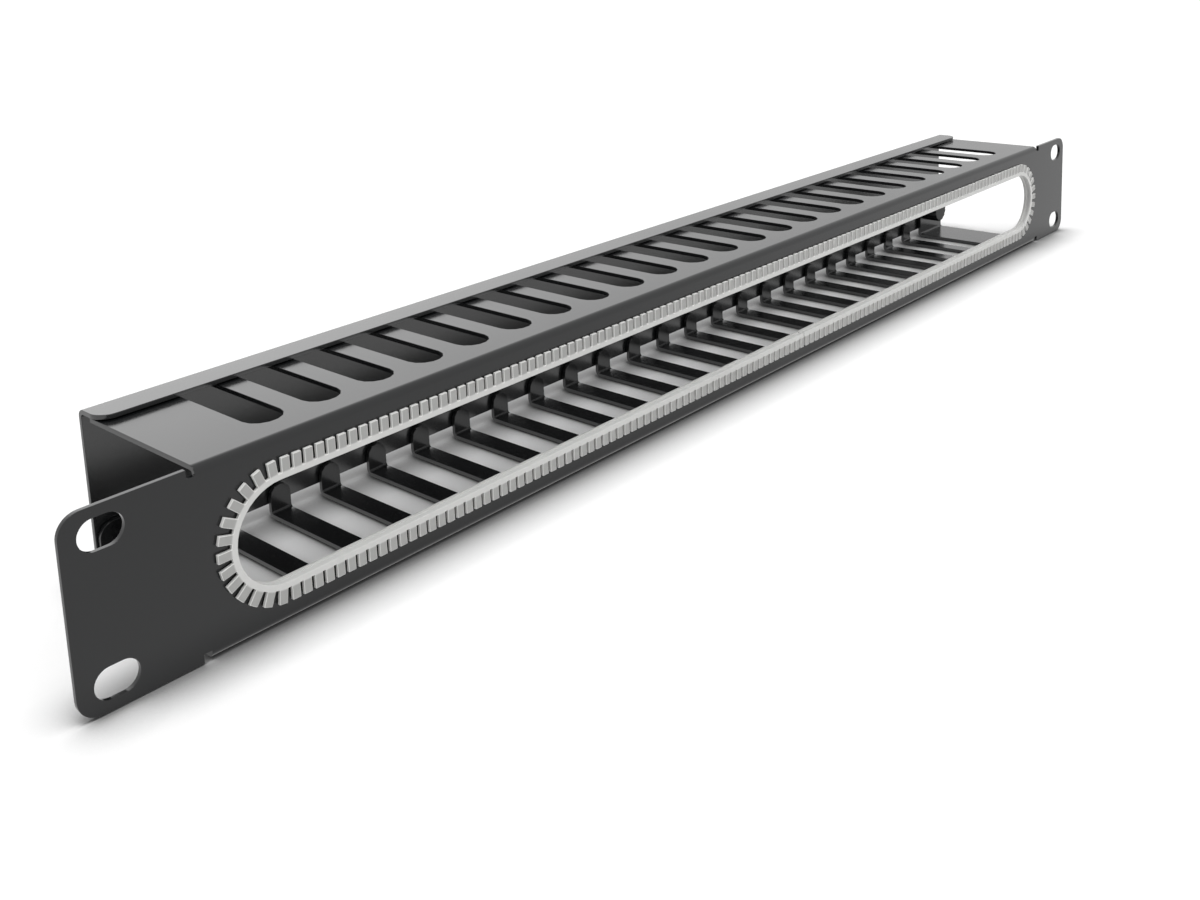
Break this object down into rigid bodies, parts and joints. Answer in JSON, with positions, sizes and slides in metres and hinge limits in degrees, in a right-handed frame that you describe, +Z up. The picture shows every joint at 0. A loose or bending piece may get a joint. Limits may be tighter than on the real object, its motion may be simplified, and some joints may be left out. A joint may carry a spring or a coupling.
{
  "type": "horizontal cable manager",
  "caption": "Rack panel with ears whose slotted flanges fold back into an open cable channel, with a long front opening edged by a toothed strip, and a lipped rear cover.",
  "frame": {"origin": "middle of the four rack slots, on the rear face of the ears, where the panel meets the rack's rails", "axes": "+X along the panel to the right as seen from the front, +Y to the rear into the rack, +Z up"},
  "size_m": [0.4826, 0.0522, 0.0452],
  "materials": {
    "powder_coated_steel": "fine satin black powder coat on folded steel sheet",
    "cover_powder_coat": "fine satin black powder coat on folded steel sheet",
    "natural_nylon": "natural pale grey nylon, slightly translucent",
    "black_plastic": "moulded black nylon",
    "zinc_plated_steel": "bright zinc plate"
  },
  "bodies": {
    "panel": {"front_panel": "powder_coated_steel", "edge_strip": "natural_nylon"},
    "cover": {"rear_cover": "cover_powder_coat"},
    "screw_left": {"thumb_head_left": "black_plastic", "thumb_stem_left": "zinc_plated_steel"},
    "screw_right": {"thumb_head_right": "black_plastic", "thumb_stem_right": "zinc_plated_steel"}
  },
  "joints": [
    {"name": "cover_slide", "type": "slide", "parent": "panel", "child": "cover", "axis": [0, 1, 0], "range_m": [0, 0.06]},
    {"name": "screw_left_turn", "type": "hinge", "parent": "panel", "child": "screw_left", "pos_m": [-0.2014, 0.0402, -0.01055], "axis": [0, -1, 0], "continuous": true},
    {"name": "screw_right_turn", "type": "hinge", "parent": "panel", "child": "screw_right", "pos_m": [0.2014, 0.0402, -0.01055], "axis": [0, -1, 0], "continuous": true}
  ]
}
